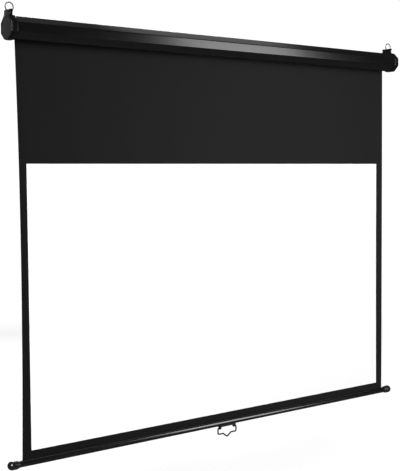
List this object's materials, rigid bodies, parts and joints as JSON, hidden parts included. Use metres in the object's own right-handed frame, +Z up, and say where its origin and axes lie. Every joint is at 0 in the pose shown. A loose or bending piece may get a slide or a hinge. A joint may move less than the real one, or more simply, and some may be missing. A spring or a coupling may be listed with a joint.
{
  "type": "manual pull-down projection screen",
  "caption": "Wall or ceiling hung pull-down projection screen: black octagonal case, spring roller, white sheet with black borders, weight bar and wire pull handle.",
  "frame": {"origin": "middle of the case's flat back face, on the level of the roller's axis", "axes": "+X along the screen to the viewer's right, +Y into the wall, +Z up; the screen faces -Y"},
  "size_m": [1.955, 0.079, 1.6383],
  "materials": {
    "black_case_paint": "satin black powder coat on roll-formed steel",
    "black_cap_plastic": "moulded black plastic, fine grain",
    "screw_steel": "zinc plated pan heads",
    "bracket_steel": "plain zinc plated sheet",
    "arbor_steel": "turned steel",
    "ratchet_brass": "sintered bronze, matte",
    "spring_steel": "oiled spring wire",
    "inner_plastic": "black moulded plastic",
    "tube_steel": "galvanised roller tube",
    "tape": "cream double-sided tape",
    "black_sheet": "black coated woven sheet, matte",
    "white_coat": "matte white coating",
    "pawl_steel": "stamped zinc plated steel",
    "bush_nylon": "natural nylon",
    "black_bar_paint": "gloss black paint on steel tube",
    "rod_steel": "drawn steel rod",
    "black_plug_plastic": "polished black moulding",
    "handle_base_plastic": "black moulded plastic",
    "handle_wire": "black dipped steel wire",
    "ring_chrome": "bright plated wire"
  },
  "bodies": {
    "housing": {"case_shell": "black_case_paint", "left_end_cap": "black_cap_plastic", "right_end_cap": "black_cap_plastic", "end_cap_screws": "screw_steel", "left_bracket": "bracket_steel", "right_bracket": "bracket_steel", "bracket_screws": "screw_steel", "spade_arbor": "arbor_steel", "ratchet_hub": "ratchet_brass", "torsion_spring": "spring_steel", "spring_collar": "inner_plastic", "idler_pin": "arbor_steel", "screen_fabric": "black_sheet", "viewing_surface": "white_coat"},
    "roller": {"roller_tube": "tube_steel", "fabric_tape": "tape", "fabric_wraps": "black_sheet", "ratchet_head": "inner_plastic", "pawl_pins": "arbor_steel", "idler_plug": "inner_plastic", "idler_bush": "bush_nylon"},
    "pawl_a": {"upper_pawl": "pawl_steel"},
    "pawl_b": {"lower_pawl": "pawl_steel"},
    "bar": {"fabric_hem": "black_sheet", "weight_bar": "black_bar_paint", "hem_rod": "rod_steel", "left_bar_plug": "black_plug_plastic", "right_bar_plug": "black_plug_plastic", "handle_base": "handle_base_plastic", "handle_screws": "screw_steel"},
    "handle": {"pull_handle": "handle_wire"},
    "ring_l": {"left_ring": "ring_chrome"},
    "ring_r": {"right_ring": "ring_chrome"}
  },
  "joints": [
    {"name": "screen_pull", "type": "slide", "parent": "housing", "child": "bar", "axis": [0, 0, 1], "range_m": [0, 1.4315], "deforming": ["screen_fabric", "viewing_surface"]},
    {"name": "roller_turn", "type": "hinge", "parent": "housing", "child": "roller", "pos_m": [0, -0.038, 0], "axis": [1, 0, 0], "range_deg": [0, 3780.5]},
    {"name": "upper_pawl_swing", "type": "hinge", "parent": "roller", "child": "pawl_a", "pos_m": [-0.9294, -0.038, 0.016], "axis": [1, 0, 0], "range_deg": [0, 10.2]},
    {"name": "lower_pawl_swing", "type": "hinge", "parent": "roller", "child": "pawl_b", "pos_m": [-0.9294, -0.038, -0.016], "axis": [1, 0, 0], "range_deg": [0, 10.2]},
    {"name": "handle_swing", "type": "hinge", "parent": "bar", "child": "handle", "pos_m": [0, -0.01724, -1.5105], "axis": [1, 0, 0], "range_deg": [-90, 90]},
    {"name": "left_ring_swing", "type": "hinge", "parent": "housing", "child": "ring_l", "pos_m": [-0.9455, -0.03, 0.05531], "axis": [1, 0, 0], "range_deg": [-60, 75]},
    {"name": "right_ring_swing", "type": "hinge", "parent": "housing", "child": "ring_r", "pos_m": [0.9455, -0.03, 0.05531], "axis": [1, 0, 0], "range_deg": [-60, 75]}
  ],
  "couplings": [
    {"joint": "roller_turn", "follows": "screen_pull", "rad_per_m": 46.087}
  ]
}
